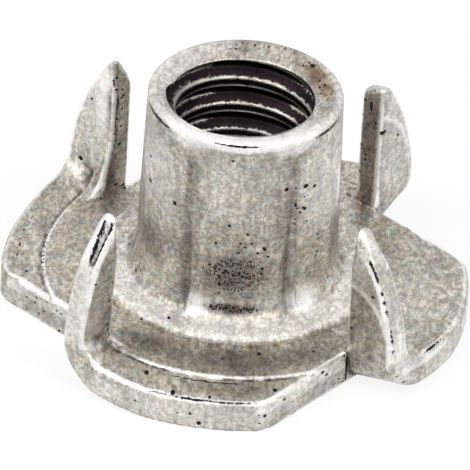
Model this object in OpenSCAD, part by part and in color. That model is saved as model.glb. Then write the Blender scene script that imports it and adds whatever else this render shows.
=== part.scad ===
// Tee nut: a round flange with four prongs bent up out of it and a drawn, tapped barrel.
// Units are millimetres, +Z runs up the barrel, the origin is the centre of the flange's underside.

/* [Flange] */
// Diameter of the round blank
flange_d = 22.5; // [21.5:0.1:26]
// Thickness of the sheet inside the rim ring
sheet_t = 1.75; // [1.4:0.05:2]
// Diameter of the shallow step that marks off the rim ring
rim_step_d = 18.6; // [17:0.1:19]
// Drop from the inner flange to the rim ring
rim_step_h = 0.1; // [0.05:0.05:0.3]
// Rounding of the rim's upper edge
rim_round = 0.45; // [0.2:0.05:0.6]

/* [Collar] */
// Diameter of the raised collar round the barrel's foot
collar_d = 13.6; // [12.4:0.1:14.6]
// Height of the collar above the flange
collar_rise = 0.45; // [0.2:0.05:1]
// Rounding of the collar's upper edge
collar_round = 0.2; // [0.1:0.05:0.2]

/* [Barrel] */
// Overall height from the underside to the barrel's lip
overall_h = 11.8; // [10:0.1:16]
// Outside diameter at the lip
barrel_d = 9.3; // [9:0.05:9.8]
// Growth in diameter from the lip down to the flare
barrel_draft = 0.4; // [0.1:0.05:0.6]
// Height of the flare between collar and barrel
flare_h = 1.2; // [0.8:0.05:1.6]
// Width the flare adds to the barrel's radius at the collar
flare_w = 0.5; // [0.3:0.05:0.6]
// Rounding of the lip's outer edge
lip_round = 0.2; // [0.1:0.05:0.4]

/* [Flutes] */
// Number of flutes pressed along the barrel
flute_count = 6; // [4:1:8]
// Radius of the tool that presses a flute
flute_r = 0.45; // [0.3:0.05:0.7]
// Depth of a flute at its upper end; the barrel's draft deepens it downwards
flute_depth = 0.05; // [0.04:0.01:0.15]
// Plain length of barrel left above the flutes
flute_top_gap = 1.2; // [1:0.1:3]
// Turn of the first flute from the +X axis, in degrees
flute_turn = -59; // [-90:1:90]

/* [Bore] */
// Bore on the crests of the thread
bore_d = 6.6; // [6.2:0.05:7]
// Diameter of the countersunk mouth at the lip
mouth_d = 8.4; // [7.4:0.05:8.6]
// Depth of the countersunk mouth
mouth_depth = 0.35; // [0.2:0.05:1]
// Radius of the drawn lead-in on the underside
lead_in_r = 1.1; // [0.6:0.05:1.3]

/* [Prongs] */
// Number of prongs
prong_count = 4; // [3:1:4]
// Distance from the axis to the straight cut that frees a prong
cut_offset = 8.45; // [8.1:0.05:8.7]
// Width of the slit beside a prong
slit_w = 0.1; // [0.05:0.05:0.4]
// Height of a full prong's tip
prong_h = 9; // [7.5:0.05:9.2]
// Thickness of a prong
prong_t = 1.3; // [1:0.05:1.5]
// Radius inside the bend
bend_in_r = 0.9; // [0.5:0.05:1.2]
// Radius outside the bend
bend_out_r = 2; // [1:0.05:2.2]
// Distance from the middle of the cut to the prong's outer face
prong_back = 1.5; // [1.2:0.05:1.8]
// Rounding of the prong's tip
tip_round = 0.15; // [0.1:0.05:0.3]
// Turn of the first cut from the +X axis, in degrees
prong_turn = -40; // [-90:1:90]
// How much lower each prong's curved edge ends, counted anticlockwise from the first
prong_drop = [0.8, 0, 0, 0.4]; // [0:0.05:1]
// How much of each prong's tip is sheared off flat
prong_blunt = [0, 0.7, 0.2, 0]; // [0:0.05:1]
// How far each prong is set over towards its inner face
prong_set = [0, 0, 0, 0.45]; // [0:0.05:0.6]
// How much narrower each prong is along its straight edge
prong_trim = [0, 0, 0, 0.4]; // [0:0.05:0.5]

/* [Part shown] */
// Sub-part drawn

/* [Hidden] */
steel = [0.72, 0.70, 0.67];
round_fn = 96;
// cutting solids run past the faces they cut by this much
over = 1;
// overlap of a prong's leg with the flange, and its setting inside the rim
lap = 0.3;
rim_inset = 0.02;
// overlap of a flute's two runs, and the lower run's radius as a share of the upper one's
flute_run = 0.05;
flute_spread = 1.1;

flange_r = flange_d / 2;
rim_t = sheet_t - rim_step_h;
rim_step_r = rim_step_d / 2;
collar_r = collar_d / 2;
collar_z = sheet_t + collar_rise;
lip_r = barrel_d / 2;
foot_r = lip_r + barrel_draft / 2;
flare_z = collar_z + flare_h;
// the flare is an arc that leaves the barrel upright and meets the collar flare_w further out
flare_r = (flare_h * flare_h + flare_w * flare_w) / (2 * flare_w);
bore_r = bore_d / 2;
mouth_r = mouth_d / 2;

// the cut is a chord of the blank; a prong is the part of the blank outside it, stood up
half_cut = sqrt(flange_r * flange_r - cut_offset * cut_offset);
// the bend's flange leg ends at bend_end, inside the rim and lapping over what is left beside the gap
function bend_end(i) = prong_t - prong_back + bend_in_r + prong_set[i];
function gap_end(i) = bend_end(i) - lap;
function in_x(i) = cut_offset + slit_w + prong_trim[i];
function out_x(i) = sqrt(flange_r * flange_r - bend_end(i) * bend_end(i)) - rim_inset;
// the prong's curved edge is the blank's own rim, turned up about the bend
function tip_x(i) = in_x(i) + tip_round;
function tip_rise(i) = sqrt(pow(out_x(i) - tip_round, 2) - tip_x(i) * tip_x(i));
function axis_z(i) = prong_h - prong_drop[i] - tip_round - tip_rise(i);
// where the tip's rounding runs into the curved edge
function touch(i) = out_x(i) / (out_x(i) - tip_round);
flute_len = overall_h - flute_top_gap - flare_z;
flute_x = lip_r + barrel_draft / 2 * flute_top_gap / (overall_h - flare_z) + flute_r - flute_depth;
// round the flare the tool leans with it, a little wider and deeper than on the barrel
flare_lean = atan(flare_w / flare_h);
flare_tool_r = flute_spread * flute_r;
flare_tool_in = flute_depth + barrel_draft / 2 + flute_run;

// half section of the flange: inner plate, rim ring with its rounded edge
module flange_section() {
    square([rim_step_r, sheet_t]);
    square([flange_r - rim_round, rim_t]);
    square([flange_r, rim_t - rim_round]);
    translate([flange_r - rim_round, rim_t - rim_round]) circle(r = rim_round, $fn = round_fn);
}

// half section of the collar and the drafted barrel with its flare and rounded lip
module barrel_section() {
    square([collar_r - collar_round, collar_z]);
    square([collar_r, collar_z - collar_round]);
    translate([collar_r - collar_round, collar_z - collar_round]) circle(r = collar_round, $fn = round_fn);
    polygon([
        [0, 0],
        [foot_r, 0],
        [foot_r, flare_z],
        [lip_r, overall_h - lip_round],
        [0, overall_h - lip_round]
    ]);
    square([lip_r - lip_round, overall_h]);
    translate([lip_r - lip_round, overall_h - lip_round]) circle(r = lip_round, $fn = round_fn);
    difference() {
        translate([0, collar_z]) square([foot_r + flare_w, flare_h]);
        translate([foot_r + flare_r, flare_z]) circle(r = flare_r, $fn = round_fn);
    }
}

// everything cut out along the axis: bore, countersunk mouth and drawn lead-in
module bore_section() {
    translate([0, -over]) square([bore_r, overall_h + 2 * over]);
    polygon([
        [0, overall_h - mouth_depth],
        [bore_r, overall_h - mouth_depth],
        [mouth_r, overall_h],
        [mouth_r, overall_h + over],
        [0, overall_h + over]
    ]);
    difference() {
        translate([0, -over]) square([bore_r + lead_in_r, lead_in_r + over]);
        translate([bore_r + lead_in_r, lead_in_r]) circle(r = lead_in_r, $fn = round_fn);
        translate([bore_r + lead_in_r, -over]) square([over, lead_in_r + 2 * over]);
    }
}

// one shallow flute: up the barrel, and down the flare to the collar's face
module flute() {
    translate([flute_x, 0, flare_z - flute_run])
        cylinder(r = flute_r, h = flute_len + flute_run, $fn = round_fn);
    intersection() {
        translate([foot_r + flare_w / 2, 0, collar_z + flare_h / 2])
            rotate([0, -flare_lean, 0])
                translate([flare_tool_r - flare_tool_in, 0, -flare_h])
                    cylinder(r = flare_tool_r, h = 2 * flare_h, $fn = round_fn);
        translate([0, -flare_tool_r - over, collar_z])
            cube([collar_r, 2 * (flare_tool_r + over), flare_h]);
    }
}

// the opening one prong leaves in the flange, seen in the prong's own frame
module prong_gap(i) {
    translate([cut_offset, -half_cut - over, -over])
        cube([flange_r, half_cut + over + gap_end(i), sheet_t + 2 * over]);
}

// side view of the bend: flange leg, upright leg, rounding outside and fillet inside
module bend_side() {
    difference() {
        union() {
            square([prong_t + bend_in_r, rim_t]);
            square([prong_t, prong_h]);
            translate([prong_t, rim_t]) square([bend_in_r, bend_in_r]);
        }
        translate([prong_t + bend_in_r, rim_t + bend_in_r]) circle(r = bend_in_r, $fn = round_fn);
        difference() {
            translate([-over, -over]) square([bend_out_r + over, bend_out_r + over]);
            translate([bend_out_r, bend_out_r]) circle(r = bend_out_r, $fn = round_fn);
        }
    }
}

// front view of a prong: straight inner edge, curved outer edge, rounded or sheared tip
module prong_front(i) {
    intersection() {
        square([flange_r, prong_h - prong_drop[i] - prong_blunt[i]]);
        union() {
            translate([in_x(i), 0]) square([out_x(i) - in_x(i), axis_z(i)]);
            intersection() {
                translate([0, axis_z(i)]) circle(r = out_x(i), $fn = 4 * round_fn);
                translate([0, axis_z(i)])
                    polygon([
                        [in_x(i), 0],
                        [flange_r, 0],
                        [flange_r, tip_rise(i) * touch(i)],
                        [tip_x(i) * touch(i), tip_rise(i) * touch(i)],
                        [in_x(i), tip_rise(i)]
                    ]);
            }
            translate([tip_x(i), axis_z(i) + tip_rise(i)]) circle(r = tip_round, $fn = round_fn);
        }
    }
}

// one prong with its bend, in its own frame: X outwards across the cut, Y along it
module prong(i) {
    intersection() {
        translate([0, prong_set[i] - prong_back, 0])
            rotate([90, 0, 90])
                linear_extrude(height = flange_r + over)
                    bend_side();
        translate([0, bend_end(i), 0])
            rotate([90, 0, 0])
                linear_extrude(height = prong_t + bend_in_r)
                    prong_front(i);
    }
}

module tee_nut() {
    color(steel)
    difference() {
        union() {
            difference() {
                rotate_extrude($fn = 4 * round_fn) flange_section();
                for (i = [0 : prong_count - 1]) {
                    rotate([0, 0, prong_turn + i * 360 / prong_count]) prong_gap(i);
                }
            }
            for (i = [0 : prong_count - 1]) {
                rotate([0, 0, prong_turn + i * 360 / prong_count]) prong(i);
            }
            difference() {
                rotate_extrude($fn = 2 * round_fn) barrel_section();
                for (i = [0 : flute_count - 1]) {
                    rotate([0, 0, flute_turn + i * 360 / flute_count]) flute();
                }
            }
        }
        rotate_extrude($fn = 2 * round_fn) bore_section();
    }
}

tee_nut();
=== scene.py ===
"""Dresses a tee nut: the pressed steel flange with its four prongs, and the fluted, threaded barrel.

All sizes are in millimetres and are turned into metres when a mesh is written. The frame is the part's
own: +Z up the barrel, the origin at the centre of the flange's underside.
"""

from __future__ import annotations

import logging
import math
from collections.abc import Callable, Sequence
from dataclasses import dataclass, field
from enum import Enum

import bmesh
import bpy
import numpy as np
from mathutils import Matrix, Vector

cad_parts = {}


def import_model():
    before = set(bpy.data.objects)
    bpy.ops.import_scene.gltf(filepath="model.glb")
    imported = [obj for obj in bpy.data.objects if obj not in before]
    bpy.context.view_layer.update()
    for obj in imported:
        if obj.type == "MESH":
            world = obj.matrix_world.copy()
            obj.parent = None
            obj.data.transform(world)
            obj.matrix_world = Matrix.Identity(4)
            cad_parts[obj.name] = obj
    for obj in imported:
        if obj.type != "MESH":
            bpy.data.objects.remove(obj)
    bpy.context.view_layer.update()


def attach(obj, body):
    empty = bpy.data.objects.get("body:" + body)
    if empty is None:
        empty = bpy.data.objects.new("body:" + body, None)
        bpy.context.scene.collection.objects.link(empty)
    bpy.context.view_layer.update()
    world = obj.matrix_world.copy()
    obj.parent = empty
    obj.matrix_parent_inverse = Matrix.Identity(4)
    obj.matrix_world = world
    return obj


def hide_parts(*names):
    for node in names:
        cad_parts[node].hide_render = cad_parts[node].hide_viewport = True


LOG = logging.getLogger("tee_nut")
MM = 0.001
NODE = "tee_nut"
BODY = "root"
FULL_TURN = 2 * math.pi
WHITE = (1.0, 1.0, 1.0, 1.0)


class Mask(Enum):
    """Names of the float attributes that tell a material where it is on a piece."""

    EDGE = "edge"
    HOLLOW = "hollow"
    MATTE = "matte"
    TORN = "torn"
    # dirt in a few patches; painted shade and painted reflections of dark surroundings in most
    DIRT_AND_SHADE = "grime"
    # burnish on sheared faces; painted highlights on rims, edges, the lip, the collar and the cove
    BURNISH_AND_HIGHLIGHT = "burnish_and_highlight"
    PITTED = "pitted"
    SCORED = "scored"
    BROWN = "brown"
    # dark nicks and dotted lines; painted shade in the thread and painted shadow under edges and in gaps
    DARK_MARKS_AND_SHADE = "dark_marks_and_shade"


Array = np.ndarray
Distance = Callable[[Array, Array, Array], Array]
Marks = dict[Mask, Array]
Colour = tuple[float, float, float]
Point = tuple[float, float]

# ---------------------------------------------------------------------------------------------------
# Fields: a form is a distance, negative inside the metal
# ---------------------------------------------------------------------------------------------------


def rounded_cut(a: Array, b: Array, radius: Array | float) -> Array:
    """Keeps what is inside both forms, and rounds the edge where their surfaces meet.

    Args:
        a: Distance to the first form.
        b: Distance to the second form.
        radius: Radius of the rounded edge.

    Returns:
        Distance to the common form.
    """
    u = np.maximum(a + radius, 0.0)
    v = np.maximum(b + radius, 0.0)
    return np.minimum(-radius, np.maximum(a, b)) + np.sqrt(u * u + v * v)


def filleted_join(a: Array, b: Array, radius: Array | float) -> Array:
    """Joins two forms and fills the corner between them.

    Args:
        a: Distance to the first form.
        b: Distance to the second form.
        radius: Radius of the fillet.

    Returns:
        Distance to the joined form.
    """
    u = np.maximum(radius - a, 0.0)
    v = np.maximum(radius - b, 0.0)
    return np.maximum(radius, np.minimum(a, b)) - np.sqrt(u * u + v * v)


def eased(value: Array, zero: float, one: float) -> Array:
    """Runs smoothly from 0 at the value zero to 1 at the value one, which may be the lower of the two."""
    t = np.clip((value - zero) / (one - zero), 0.0, 1.0)
    return t * t * (3.0 - 2.0 * t)


def between(value: Array, zero: float, one: float, last: float, gone: float) -> Array:
    """Rises from 0 to 1 over the first two values and falls back over the last two."""
    return eased(value, zero, one) * eased(value, gone, last)


def hump(value: Array, middle: Array | float, width: float, power: int = 2) -> Array:
    """Is 1 in the middle and falls off over the width, more squarely for a higher power."""
    return np.exp(-(((value - middle) / width) ** power))


@dataclass
class SurfaceNet:
    """Turns a field into a closed mesh of quads on a regular lattice.

    Attributes:
        low: Lowest corner of the lattice.
        high: Highest corner of the lattice.
        step: Lattice step, which is about the length of a quad's side.
        passes: How often the net is relaxed and laid back on the surface.
        reach: Distance over which the surface's slope is read while it is laid back.
        least_steep: Least square of that slope that is reckoned with, where the field is nearly flat.
    """

    low: tuple[float, float, float]
    high: tuple[float, float, float]
    step: float
    passes: int = 3
    reach: float = 0.02
    least_steep: float = 0.05

    def sample(self, distance: Distance) -> Array:
        """Reads the field on the lattice, a layer at a time.

        Args:
            distance: The field.

        Returns:
            The field's values, indexed by x, y and z.
        """
        across, along, up = (np.arange(a, b + self.step, self.step) for a, b in zip(self.low, self.high))
        x, y = np.meshgrid(across, along, indexing="ij")
        return np.stack([distance(x, y, np.full_like(x, z)) for z in up], axis=2)

    def crossings(self, values: Array, cells: Array) -> Array:
        """Places one point in each cell that the surface passes through.

        Args:
            values: The field on the lattice.
            cells: Index triples of those cells.

        Returns:
            One point for each cell, the mean of the crossings on its edges.
        """
        corners = np.array([(i, j, k) for i in (0, 1) for j in (0, 1) for k in (0, 1)])
        at = cells[:, None, :] + corners[None, :, :]
        read = values[at[..., 0], at[..., 1], at[..., 2]]
        total = np.zeros((len(cells), 3))
        count = np.zeros(len(cells))
        for p in range(8):
            for q in range(p + 1, 8):
                if np.abs(corners[p] - corners[q]).sum() != 1:
                    continue
                crossed = (read[:, p] < 0) != (read[:, q] < 0)
                gap = np.where(crossed, read[:, p] - read[:, q], 1.0)
                share = np.where(crossed, read[:, p] / gap, 0.0)
                point = corners[p] + share[:, None] * (corners[q] - corners[p])
                total += point * crossed[:, None]
                count += crossed
        return np.array(self.low) + self.step * (cells + total / count[:, None])

    def quads(self, values: Array, numbers: Array) -> Array:
        """Joins the cells' points into quads, one across each lattice edge that the surface crosses.

        Args:
            values: The field on the lattice.
            numbers: Number of each cell's point, or -1.

        Returns:
            Quads of point numbers, facing out of the metal.
        """
        inside = values < 0
        found = []
        for axis in range(3):
            near, far = [slice(None)] * 3, [slice(None)] * 3
            near[axis], far[axis] = slice(None, -1), slice(1, None)
            crossed = np.argwhere(inside[tuple(near)] != inside[tuple(far)])
            leaving = inside[tuple(near)][tuple(crossed.T)]
            b, c = (axis + 1) % 3, (axis + 2) % 3
            ring = []
            for back_b, back_c in ((0, 0), (1, 0), (1, 1), (0, 1)):
                cell = crossed.copy()
                cell[:, b] -= back_b
                cell[:, c] -= back_c
                ring.append(numbers[tuple(cell.T)])
            quad = np.stack(ring, axis=1)
            found.append(np.where(leaving[:, None], quad, quad[:, ::-1]))
        return np.concatenate(found)

    def relax(self, points: Array, quads: Array) -> Array:
        """Moves each point halfway to the middle of the quads round it.

        Args:
            points: The net's points.
            quads: Its quads.

        Returns:
            The moved points.
        """
        middles = points[quads].mean(axis=1)
        total = np.zeros_like(points)
        count = np.zeros(len(points))
        for corner in range(4):
            np.add.at(total, quads[:, corner], middles)
            np.add.at(count, quads[:, corner], 1.0)
        return 0.5 * points + 0.5 * total / count[:, None]

    def soften(self, values: Array, quads: Array, passes: int = 2) -> Array:
        """Evens out values over the net.

        Args:
            values: One value for each point.
            quads: The net's quads.
            passes: How often each value moves halfway to its neighbours' mean.

        Returns:
            The evened values.
        """
        count = np.bincount(quads.ravel(), minlength=len(values)).astype(float)
        for _ in range(passes):
            means = np.repeat(values[quads].mean(axis=1), 4)
            values = 0.5 * values + 0.5 * np.bincount(quads.ravel(), means, len(values)) / count
        return values

    def slopes(self, distance: Distance, points: Array, reach: float) -> tuple[Array, Array, Array]:
        """Reads the field, its gradient and its curvature.

        Args:
            distance: The field.
            points: Where it is read.
            reach: Distance to each side over which it is compared.

        Returns:
            The value, the gradient and the sum of the second differences at each point.
        """
        value = distance(*points.T)
        gradient = np.zeros_like(points)
        bend = -6.0 * value
        for axis in range(3):
            ahead, behind = points.copy(), points.copy()
            ahead[:, axis] += reach
            behind[:, axis] -= reach
            up, down = distance(*ahead.T), distance(*behind.T)
            gradient[:, axis] = (up - down) / (2 * reach)
            bend += up + down
        return value, gradient, bend / (reach * reach)

    def build(self, distance: Distance) -> tuple[Array, Array]:
        """Makes the net.

        Args:
            distance: The field.

        Returns:
            The points and the quads.
        """
        values = self.sample(distance)
        inside = (values < 0).astype(np.int8)
        held = sum(
            inside[i : inside.shape[0] - 1 + i, j : inside.shape[1] - 1 + j, k : inside.shape[2] - 1 + k]
            for i in (0, 1)
            for j in (0, 1)
            for k in (0, 1)
        )
        cells = np.argwhere((held > 0) & (held < 8))
        numbers = np.full(held.shape, -1, np.int64)
        numbers[tuple(cells.T)] = np.arange(len(cells))
        points, quads = self.crossings(values, cells), self.quads(values, numbers)
        for _ in range(self.passes):
            points = self.relax(points, quads)
            value, gradient, _ = self.slopes(distance, points, self.reach)
            steep = np.maximum((gradient * gradient).sum(axis=1), self.least_steep)
            points = points - np.clip(value / steep, -self.step, self.step)[:, None] * gradient
        return points, quads


# ---------------------------------------------------------------------------------------------------
# Meshes and node trees
# ---------------------------------------------------------------------------------------------------


def placed(name: str, data: bpy.types.ID) -> bpy.types.Object:
    """Puts an object with this data into the scene.

    Args:
        name: The object's name.
        data: Its mesh, camera or lamp.

    Returns:
        The object.
    """
    thing = bpy.data.objects.new(name, data)
    bpy.context.scene.collection.objects.link(thing)
    return thing


def write_marks(mesh: bpy.types.Mesh, marks: Marks) -> None:
    """Writes masks to a mesh as attributes of its points.

    Args:
        mesh: The mesh.
        marks: One value for each point, by mask.
    """
    for mask, values in marks.items():
        attribute = mesh.attributes.new(mask.value, "FLOAT", "POINT")
        attribute.data.foreach_set("value", values.astype(np.float32))


class Flow:
    """A node's output, reckoned with as a number is: each sum adds a Math node behind it.

    Args:
        wire: Where the nodes go.
        socket: The output.
    """

    def __init__(self, wire: Wiring, socket: bpy.types.NodeSocket) -> None:
        """Keeps the wiring and the output."""
        self.wire = wire
        self.socket = socket

    def of(self, operation: str, other: Feed = 0.0) -> Flow:
        """Puts it through an operation of the Math node."""
        return self.wire.math(operation, self, other)

    def __add__(self, other: Feed) -> Flow:
        """Adds to it."""
        return self.of("ADD", other)

    def __sub__(self, other: Feed) -> Flow:
        """Takes away from it."""
        return self.of("SUBTRACT", other)

    def __rsub__(self, other: Feed) -> Flow:
        """Takes it away from a number."""
        return self.wire.math("SUBTRACT", other, self)

    def __mul__(self, other: Feed) -> Flow:
        """Multiplies it."""
        return self.of("MULTIPLY", other)

    def __truediv__(self, other: Feed) -> Flow:
        """Divides it."""
        return self.of("DIVIDE", other)

    def __rtruediv__(self, other: Feed) -> Flow:
        """Divides a number by it."""
        return self.wire.math("DIVIDE", other, self)

    def clamped(self) -> Flow:
        """Keeps the sum it comes from between 0 and 1."""
        self.socket.node.use_clamp = True
        return self

    def ramp(
        self, low: Feed, high: Feed, to_low: float = 0.0, to_high: float = 1.0, kind: str = "SMOOTHSTEP"
    ) -> Flow:
        """Maps its values from low to high to the range from to_low to to_high, smoothly or in a line."""
        ends = {1: low, 2: high, 3: to_low, 4: to_high}
        return self.wire.add("ShaderNodeMapRange", {0: self, **ends}, interpolation_type=kind)[0]


Feed = Flow | float | tuple[float, ...]


class Outlets:
    """A node's outputs as flows, by name or number.

    Args:
        wire: Where the node is.
        node: The node.
    """

    def __init__(self, wire: Wiring, node: bpy.types.Node) -> None:
        """Keeps the wiring and the node."""
        self.wire = wire
        self.node = node

    def __getitem__(self, key: str | int) -> Flow:
        """Gives one output."""
        return Flow(self.wire, self.node.outputs[key])


class Wiring:
    """Adds nodes to a tree and joins them up.

    Args:
        tree: The tree that the nodes go into.
    """

    def __init__(self, tree: bpy.types.NodeTree) -> None:
        """Keeps the tree."""
        self.tree = tree

    @classmethod
    def of(cls, owner: bpy.types.Material | bpy.types.World) -> Wiring:
        """Gives the owner an empty tree.

        Args:
            owner: The material or world.

        Returns:
            The tree's wiring.
        """
        owner.use_nodes = True
        owner.node_tree.nodes.clear()
        return cls(owner.node_tree)

    def declare(self, way: str, kinds: dict[str, str]) -> None:
        """Adds inputs or outputs to a group's interface, with the kind of each by its name."""
        for name, kind in kinds.items():
            self.tree.interface.new_socket(name=name, in_out=way, socket_type=f"NodeSocket{kind}")

    def add(self, kind: str, inputs: dict[str | int, Feed] | None = None, **settings: object) -> Outlets:
        """Adds a node.

        Args:
            kind: The node's type.
            inputs: Value, or the flow that feeds it, for each input by name or number.
            **settings: The node's own properties.

        Returns:
            The node's outputs.
        """
        node = self.tree.nodes.new(kind)
        for name, value in settings.items():
            setattr(node, name, value)
        for key, value in (inputs or {}).items():
            if isinstance(value, Flow):
                self.tree.links.new(value.socket, node.inputs[key])
            else:
                node.inputs[key].default_value = value
        return Outlets(self, node)

    def math(self, operation: str, a: Feed, b: Feed) -> Flow:
        """Adds a Math node, which works in a shader's tree and in a geometry tree."""
        return self.add("ShaderNodeMath", {0: a, 1: b}, operation=operation)[0]

    def vector(self, operation: str, a: Flow, b: Feed) -> Flow:
        """Adds a Vector Math node whose second input is a vector."""
        return self.add("ShaderNodeVectorMath", {0: a, 1: b}, operation=operation)[0]

    def mixed(self, share: Flow, a: Flow | Colour, b: Flow | Colour) -> Flow:
        """Mixes a share of the second colour into the first."""
        a, b = ((*colour, 1.0) if isinstance(colour, tuple) else colour for colour in (a, b))
        return self.add("ShaderNodeMix", {0: share, 6: a, 7: b}, data_type="RGBA")[2]

    def seen(self) -> Flow:
        """Adds what is 1 where the camera looks, itself, in a gloss or through glass.

        Returns:
            That flow, which is 0 for the light on the object.
        """
        rays = self.add("ShaderNodeLightPath")
        direct = rays["Is Camera Ray"].of("MAXIMUM", rays["Is Glossy Ray"])
        return direct.of("MAXIMUM", rays["Is Transmission Ray"])


# ---------------------------------------------------------------------------------------------------
# Finishes
# ---------------------------------------------------------------------------------------------------


class EffectGroup:
    """A shader group that materials share, built the first time that one asks for it.

    Attributes:
        NAME: The group's name.
        TAKES: Names of its inputs, of which Vector is a place and the others are numbers.
        GIVES: Names of its outputs.
    """

    NAME: str
    TAKES: tuple[str, ...]
    GIVES: tuple[str, ...]

    @classmethod
    def get(cls) -> bpy.types.NodeTree:
        """Finds or builds the group.

        Returns:
            The group.
        """
        if cls.NAME not in bpy.data.node_groups:
            wire = Wiring(bpy.data.node_groups.new(cls.NAME, "ShaderNodeTree"))
            wire.declare("INPUT", {name: "Vector" if name == "Vector" else "Float" for name in cls.TAKES})
            wire.declare("OUTPUT", dict.fromkeys(cls.GIVES, "Float"))
            wire.add("NodeGroupOutput", cls.effect(wire, wire.add("NodeGroupInput")))
        return bpy.data.node_groups[cls.NAME]

    @classmethod
    def effect(cls, wire: Wiring, given: Outlets) -> dict[str, Flow]:
        """Wires the effect, which each kind of group does in its own way."""
        raise NotImplementedError


class GrainGroup(EffectGroup):
    """The group for pressed steel's grain: mottling, tints, wrinkles, pits and stains.

    Attributes:
        APART: How far the patterns that follow none of the others are moved, in millimetres.
        DRAWN: How the streaks are scaled, which draws them out up the object.
    """

    NAME = "steel_grain"
    TAKES = ("Vector", "Pit Share", "Pitted", "Scored", "Sooty")
    GIVES = ("Tone", "Mottle", "Tint", "Pits", "Soot", "Stains", "Height")
    APART = (31.0, 17.0, 53.0)
    DRAWN = (1.0, 1.0, 0.16)

    @classmethod
    def noise(cls, place: Flow, scale: float, detail: float, roughness: float = 0.6) -> Flow:
        """Adds a noise pattern with about this many patches to a millimetre, and finer layers on it."""
        values = {"Vector": place, "Scale": scale, "Detail": detail, "Roughness": roughness}
        return place.wire.add("ShaderNodeTexNoise", values)["Fac"]

    @classmethod
    def pits(cls, place: Flow, scale: float, share: Flow) -> Flow:
        """Adds scattered round pits.

        Args:
            place: What places them, in millimetres.
            scale: How close together they can lie, in cells to a millimetre.
            share: How many of the cells hold one.

        Returns:
            The pattern, which is 1 in a pit.
        """
        values = {"Vector": place, "Scale": scale, "Randomness": 1.0}
        cells = place.wire.add("ShaderNodeTexVoronoi", values, feature="F1")
        lot = place.wire.add("ShaderNodeSeparateColor", {0: cells["Color"]})
        size = lot[1] * 0.16 + 0.12
        return (cells["Distance"] - size).ramp(0.06, -0.04) * lot[0].of("LESS_THAN", share)

    @classmethod
    def effect(cls, wire: Wiring, given: Outlets) -> dict[str, Flow]:
        """Wires the grain.

        Args:
            wire: Where the nodes go.
            given: The group's inputs.

        Returns:
            The group's outputs by name.
        """
        place = given["Vector"]
        apart = wire.vector("ADD", place, cls.APART)
        mottle = cls.noise(place, 1.5, 4.0)
        fine = cls.noise(place, 4.6, 2.0, 0.75)
        broad = cls.noise(place, 0.5, 2.0)
        tint = cls.noise(apart, 2.4, 3.0, 0.7)
        speck = cls.noise(apart, 8.5, 1.0)
        streak = cls.noise(wire.vector("MULTIPLY", apart, cls.DRAWN), 2.6, 2.0)
        # wrinkles lie where a noise crosses its middle value
        fold = (cls.noise(apart, 2.4, 1.0) - 0.5).of("ABSOLUTE")
        wrinkle = fold.ramp(0.03, 0.0) * fine.ramp(0.44, 0.54)
        tone = mottle.ramp(0.3, 0.7, 0.9, 1.08) * fine.ramp(0.35, 0.62, 0.64, 1.24)
        tone = tone * streak.ramp(0.35, 0.65, 0.84, 1.12) * (1.0 - wrinkle * 0.5)
        # pits: a few on plain steel, more on pitted steel, and fine ones where it is scored
        loose = cls.pits(place, 2.3, given["Pit Share"] + given["Pitted"] * 0.3)
        dense = cls.pits(apart, 3.6, given["Pitted"] * 0.75)
        dots = speck.ramp(0.5, 0.6) * mottle.ramp(0.3, 0.42)
        score = (given["Scored"] * (dots + 0.25)).ramp(0.25, 0.6)
        pits = loose.of("MAXIMUM", dense).of("MAXIMUM", score).clamped()
        return {
            "Tone": tone,
            "Mottle": mottle,
            "Tint": tint,
            "Pits": pits,
            # dark marks, painted shade and painted shadow, broken up by the fine noise
            "Soot": (given["Sooty"] + (fine - 0.5) * 1.5).ramp(0.3, 0.68),
            "Stains": broad.ramp(0.42, 0.68),
            "Height": mottle * 0.5 + fine * 0.5 - wrinkle * 0.3 - pits,
        }


class WearHighlightShadeGroup(EffectGroup):
    """The group for edges lightened as burnish and as a painted highlight, and hollows darkened with
    painted shade.
    """

    NAME = "edge_wear_highlight_and_shade"
    TAKES = ("Edge", "Hollow", "Mottle")
    GIVES = ("Bright", "Dull")

    @classmethod
    def effect(cls, wire: Wiring, given: Outlets) -> dict[str, Flow]:
        """Wires the wear.

        Args:
            wire: Where the nodes go.
            given: The group's inputs.

        Returns:
            The group's outputs by name.
        """
        mottle = given["Mottle"]
        # edges: partly burnished, partly a painted highlight
        bright = given["Edge"].ramp(0.15, 0.8) * mottle.ramp(0.3, 0.6, 0.55, 1.0)
        # hollows: painted shade
        hollow_shade = given["Hollow"].ramp(0.1, 0.7) * mottle.ramp(0.7, 0.35)
        return {"Bright": bright.clamped(), "Dull": hollow_shade.clamped()}


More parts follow.
